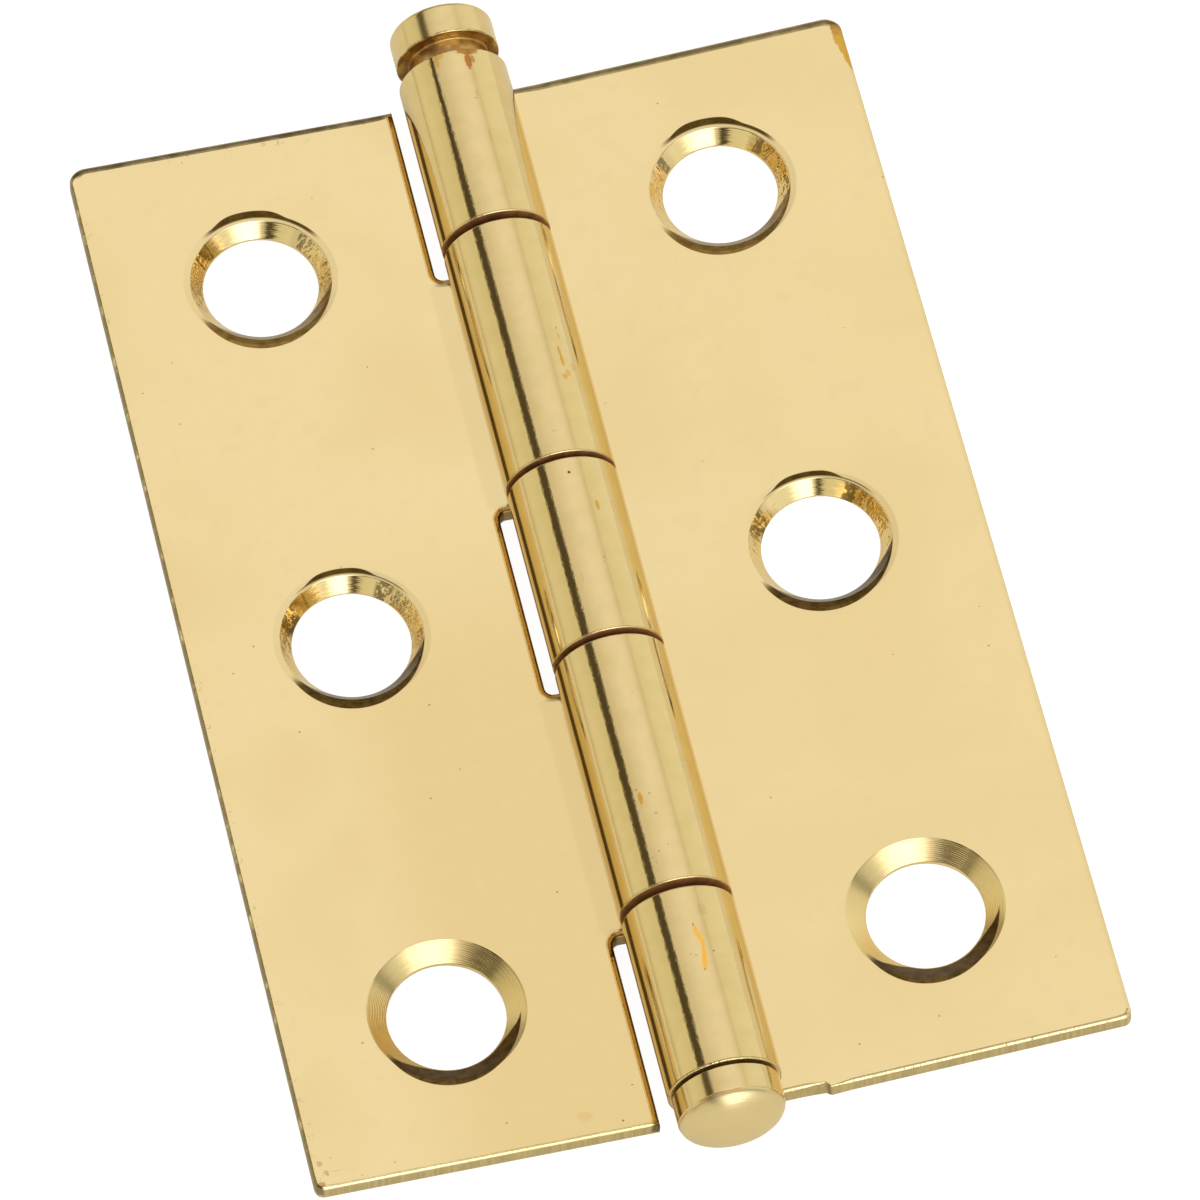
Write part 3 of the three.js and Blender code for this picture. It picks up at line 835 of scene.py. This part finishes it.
def turned_material(name, seed, kind):
    m = Net(name)
    tc = m.n("ShaderNodeTexCoord").outputs["Object"]
    sc = m.n("ShaderNodeVectorMath", operation="SCALE")
    m.link(tc, sc.inputs[0])
    sc.inputs[3].default_value = 1000.0
    p = sc.outputs[0]
    fine = m.noise(p, 3.0, 4.0, 0.6)
    mid = m.noise(p, 0.9, 3.0, 0.55)
    rad, along = m.attr("rad"), m.attr("along")
    base = m.mix(m.step(mid, 0.35, 0.68), (0.80, 0.615, 0.300, 1), (0.755, 0.585, 0.270, 1))
    rough = m.math("MULTIPLY_ADD", fine, 0.05, 0.06)
    h = m.math("MULTIPLY_ADD", mid, 3.0, m.mul(fine, 0.5))
    turn = m.noise(m.vec(m.mul(along, 14.0), m.mul(rad, 14.0), float(seed)), 1.0, 2.0, 0.5)
    h = m.math("MULTIPLY_ADD", turn, 0.25, h)
    if kind == "pin":
        # old lacquer and dirt in the groove under the head, plus painted shade: the narrow groove is coloured
        # amber-brown for the shade and bounced brass light inside it
        g = m.mul(m.step(along, 31.5, 31.7), m.step(along, 33.06, 33.0), m.step(rad, 2.84, 2.80))
        blot = m.noise(p, 1.1, 4.0, 0.6)
        gc = m.mix(m.step(blot, 0.36, 0.62), (0.66, 0.44, 0.15, 1), (0.38, 0.20, 0.06, 1))
        base = m.mix(m.mul(g, 0.92), base, gc)
        head = m.mul(m.step(along, 33.0, 33.05), m.step(rad, 2.3, 2.5))
        rough = m.math("MULTIPLY_ADD", head, 0.09, rough)
        h = m.math("MULTIPLY_ADD", head, m.mul(mid, 5.0), h)
        rough = m.math("MULTIPLY_ADD", g, 0.26, rough)
        h = m.math("MULTIPLY_ADD", m.mul(g, blot), 22.0, h)
        # painted shade: dark blots on the underside of the head
        lo = m.band(along, 33.0, 33.10, 0.02)
        base = m.mix(m.mul(lo, m.step(blot, 0.45, 0.6), 0.6), base, DARK)
    if kind == "button":
        dome = m.step(along, -33.01, -33.04)
        rough = m.math("MULTIPLY_ADD", dome, 0.15, m.add(rough, 0.07))
        h = m.math("MULTIPLY_ADD", m.inv(dome), m.mul(mid, 6.0), h)
        rings = m.math("SINE", m.math("MULTIPLY_ADD", rad, 2 * math.pi / 0.13, m.mul(mid, 1.5)))
        wob = m.noise(m.vec(m.mul(rad, 7.0), m.mul(fine, 0.3), 2.0), 1.0, 3.0, 0.6)
        h = m.math("MULTIPLY_ADD", dome, m.math("MULTIPLY_ADD", rings, 0.9, m.mul(wob, 9.0)), h)
        crease = m.band(along, -33.10, -32.98, 0.02)
        base = m.mix(m.mul(crease, m.step(m.noise(p, 0.7, 2.0, 0.5), 0.45, 0.6), 0.8), base, RUST)
        base = m.mix(m.mul(dome, 0.5), base, (0.80, 0.665, 0.37, 1))
    m.link(base, m.bsdf.inputs["Base Color"])
    m.link(rough, m.bsdf.inputs["Roughness"])
    m.bsdf.inputs["Metallic"].default_value = 1.0
    m.link(m.bump(h, 1.0, 0.000001), m.bsdf.inputs["Normal"])
    return m.mat


# ---------------------------------------------------------------- pieces
fixed = leaf("fixed_leaf", [K1, K3, K5], 3.05, 1, "fixed_leaf", 5)
moving = leaf("moving_leaf", [K2, K4], 3.4, -1, "moving_leaf", 8)

pin_prof, pin_n = fillet_profile([
    [0, -28.0, 0], [1.35, -28.0, 0.2], [1.90, -27.2, 0.3], [1.90, 31.75, 0.0], [2.15, 31.75, 0.06], [2.15, 33.0, 0.14],
    [2.85, 33.0, 0.05], [2.85, 34.949, 0.30], [0, 34.949, 0]], 7)
pin = turned("pin_turned", pin_prof, pin_n, 160, "pin")

DOME_R, DOME_Y, DOME_H = 2.775, -33.03, 1.165
a = np.linspace(0, math.pi / 2, 34)
dome = np.stack([DOME_R * np.sin(a), DOME_Y - DOME_H * np.cos(a) ** 1.12], 1)
dn = np.gradient(dome, axis=0)
dn = np.stack([dn[:, 1], -dn[:, 0]], 1)
dn[0] = (0, -1)
dn /= np.linalg.norm(dn, axis=1)[:, None]
# the dome meets the band at a fine crease
rest_p, rest_n = fillet_profile([[2.77, -33.0, 0], [2.82, -32.97, 0.03], [2.82, -31.6, 0.05], [1.95, -31.6, 0.05], [1.95, -28.9, 0.1], [1.55, -28.5, 0.1], [0, -28.5, 0]], 6)
bp = np.concatenate([dome, rest_p])
bn = np.concatenate([dn, rest_n])
button = turned("button_turned", bp, bn, 160, "fixed_leaf")

fixed.data.materials.append(leaf_material("brass_sheet_fixed", 3.0, "fixed_leaf"))
moving.data.materials.append(leaf_material("brass_sheet_moving", 11.0, "moving_leaf"))
pin.data.materials.append(turned_material("brass_turned_pin", 1.0, "pin"))
button.data.materials.append(turned_material("brass_turned_button", 2.0, "button"))

# ---------------------------------------------------------------- stage
bpy.ops.mesh.primitive_plane_add(size=6.0, location=(0, 0, -0.00005))
floor = bpy.context.object
floor.name = "floor"
fm = bpy.data.materials.new("floor_pale")
fm.use_nodes = True
ft = fm.node_tree
ft.nodes.clear()
fo = ft.nodes.new("ShaderNodeOutputMaterial")
fmix = ft.nodes.new("ShaderNodeMixShader")
fdiff = ft.nodes.new("ShaderNodeBsdfDiffuse")
fdiff.inputs["Color"].default_value = (0.90, 0.88, 0.80, 1)
fadd = ft.nodes.new("ShaderNodeAddShader")
fem = ft.nodes.new("ShaderNodeEmission")
fem.inputs["Color"].default_value = (1, 1, 1, 1)
fem.inputs["Strength"].default_value = 0.90
fdim = ft.nodes.new("ShaderNodeBsdfDiffuse")
fdim.inputs["Color"].default_value = (0.30, 0.30, 0.30, 1)
lp = ft.nodes.new("ShaderNodeLightPath")
ft.links.new(fem.outputs[0], fadd.inputs[0])
ft.links.new(fdim.outputs[0], fadd.inputs[1])
ft.links.new(lp.outputs["Is Camera Ray"], fmix.inputs[0])
fglow = ft.nodes.new("ShaderNodeEmission")
fglow.inputs["Color"].default_value = (1.0, 0.97, 0.90, 1)
fglow.inputs["Strength"].default_value = 0.12
fsum = ft.nodes.new("ShaderNodeAddShader")
ft.links.new(fdiff.outputs[0], fsum.inputs[0])
ft.links.new(fglow.outputs[0], fsum.inputs[1])
ft.links.new(fsum.outputs[0], fmix.inputs[1])
ft.links.new(fadd.outputs[0], fmix.inputs[2])
ft.links.new(fmix.outputs[0], fo.inputs[0])
floor.data.materials.append(fm)

# a light tent: its brightness runs in soft strips along the pin's direction, and again from the near side to the far side
world = bpy.data.worlds.new("light_tent")
bpy.context.scene.world = world
world.use_nodes = True
wt = world.node_tree
wt.nodes.clear()


def wnode(kind, **kw):
    nd = wt.nodes.new(kind)
    for k, v in kw.items():
        setattr(nd, k, v)
    return nd


def wramp(fac, stops, lo, hi):
    rp = wnode("ShaderNodeValToRGB")
    el = rp.color_ramp.elements
    while len(el) < len(stops):
        el.new(0.5)
    for e, (x, c) in zip(el, stops):
        e.position = (x - lo) / (hi - lo)
        e.color = (c, c, c, 1) if isinstance(c, (int, float)) else (*c, 1)
    mr = wnode("ShaderNodeMapRange")
    wt.links.new(fac, mr.inputs[0])
    mr.inputs[1].default_value, mr.inputs[2].default_value = lo, hi
    wt.links.new(mr.outputs[0], rp.inputs[0])
    return rp.outputs[0]


tc = wnode("ShaderNodeTexCoord")
sp = wnode("ShaderNodeSeparateXYZ")
wt.links.new(tc.outputs["Generated"], sp.inputs[0])
at = wnode("ShaderNodeMath", operation="ARCTAN2")
wt.links.new(sp.outputs[0], at.inputs[0])
wt.links.new(sp.outputs[2], at.inputs[1])
deg = wnode("ShaderNodeMath", operation="MULTIPLY")
wt.links.new(at.outputs[0], deg.inputs[0])
deg.inputs[1].default_value = 180 / math.pi
ACROSS = [(-95, (0.50, 0.44, 0.32)), (-90, (0.62, 0.57, 0.42)), (-86, (0.76, 0.72, 0.55)), (-80, (0.867, 0.853, 0.714)), (-70, (0.85, 0.842, 0.69)),
          (-58, (0.815, 0.80, 0.64)), (-47.6, (0.78, 0.76, 0.57)), (-45.8, (0.095, 0.075, 0.043)), (-31.0, (0.10, 0.085, 0.055)), (-29.2, (0.72, 0.70, 0.62)),
          (-24, (0.79, 0.76, 0.69)), (-12, (0.886, 0.87, 0.82)), (0.4, (0.941, 0.946, 0.94)), (8, (0.985, 0.985, 0.98)), (15, (1, 1, 1)),
          (28, (0.99, 0.985, 0.98)), (33, (0.95, 0.94, 0.90)), (38, (0.87, 0.85, 0.78)), (41.3, (0.83, 0.81, 0.73)), (42.3, (0.72, 0.70, 0.60)), (43.3, (0.845, 0.83, 0.74)),
          (48.5, (0.90, 0.905, 0.80)), (60, (0.925, 0.94, 0.83)), (85, (0.95, 0.966, 0.90)), (100, (0.95, 0.96, 0.90))]
ALONG = [(-1.0, 0.95), (-0.97, 0.98), (-0.80, 0.98), (-0.62, 0.98), (-0.54, 1.0), (-0.44, 0.85), (-0.29, 0.82), (-0.26, 0.30), (-0.12, 0.30),
         (-0.09, 0.86), (0.25, 0.95), (0.40, 1.0), (0.62, 1.0), (0.72, 0.88), (0.80, 0.55), (0.93, 0.50), (1.0, 0.58)]
r1 = wramp(deg.outputs[0], ACROSS, -180, 180)
r2 = wramp(sp.outputs[1], [(y, v / 2) for y, v in ALONG], -1, 1)
mx = wnode("ShaderNodeMix", data_type="RGBA", blend_type="MULTIPLY")
mx.inputs[0].default_value = 1.0
wt.links.new(r1, mx.inputs[6])
wt.links.new(r2, mx.inputs[7])


def wstep(x, lo, hi):
    mr = wnode("ShaderNodeMapRange", interpolation_type="SMOOTHSTEP")
    wt.links.new(x, mr.inputs[0])
    mr.inputs[1].default_value, mr.inputs[2].default_value = min(lo, hi), max(lo, hi)
    mr.inputs[3].default_value, mr.inputs[4].default_value = (1.0, 0.0) if lo > hi else (0.0, 1.0)
    return mr.outputs[0]


def wmul(a, b):
    nd = wnode("ShaderNodeMath", operation="MULTIPLY")
    wt.links.new(a, nd.inputs[0])
    wt.links.new(b, nd.inputs[1])
    return nd.outputs[0]


# a lamp behind the tent's near side
lamp = wmul(wmul(wstep(deg.outputs[0], -22.0, -8.0), wstep(deg.outputs[0], 64.0, 44.0)), wstep(sp.outputs[1], -0.52, -0.62))
ml = wnode("ShaderNodeMix", data_type="RGBA", blend_type="ADD")
wt.links.new(lamp, ml.inputs[0])
wt.links.new(mx.outputs[2], ml.inputs[6])
ml.inputs[7].default_value = (0.72, 0.74, 0.78, 1)
bg = wnode("ShaderNodeBackground")
wt.links.new(ml.outputs[2], bg.inputs[0])
bg.inputs[1].default_value = 2.0
white = wnode("ShaderNodeBackground")
white.inputs[0].default_value = (1, 1, 1, 1)
wl = wnode("ShaderNodeLightPath")
ws = wnode("ShaderNodeMixShader")
wo = wnode("ShaderNodeOutputWorld")
wt.links.new(wl.outputs["Is Camera Ray"], ws.inputs[0])
wt.links.new(bg.outputs[0], ws.inputs[1])
wt.links.new(white.outputs[0], ws.inputs[2])
wt.links.new(ws.outputs[0], wo.inputs[0])

# ---------------------------------------------------------------- camera
cam_data = bpy.data.cameras.new("camera")
cam = bpy.data.objects.new("camera", cam_data)
bpy.context.scene.collection.objects.link(cam)
cam.location = (-0.033999, -0.252283, 0.441811)
cam.rotation_mode = "QUATERNION"
cam.rotation_quaternion = (0.959009, 0.2579434, -0.0038227, -0.1172705)
cam_data.sensor_width = 36
cam_data.lens = 289.48
cam_data.clip_start, cam_data.clip_end = 0.01, 20
bpy.context.scene.camera = cam

sc = bpy.context.scene
sc.view_settings.view_transform = "Standard"
sc.view_settings.look = "None"
sc.view_settings.exposure = 0.0
sc.view_settings.gamma = 1.0
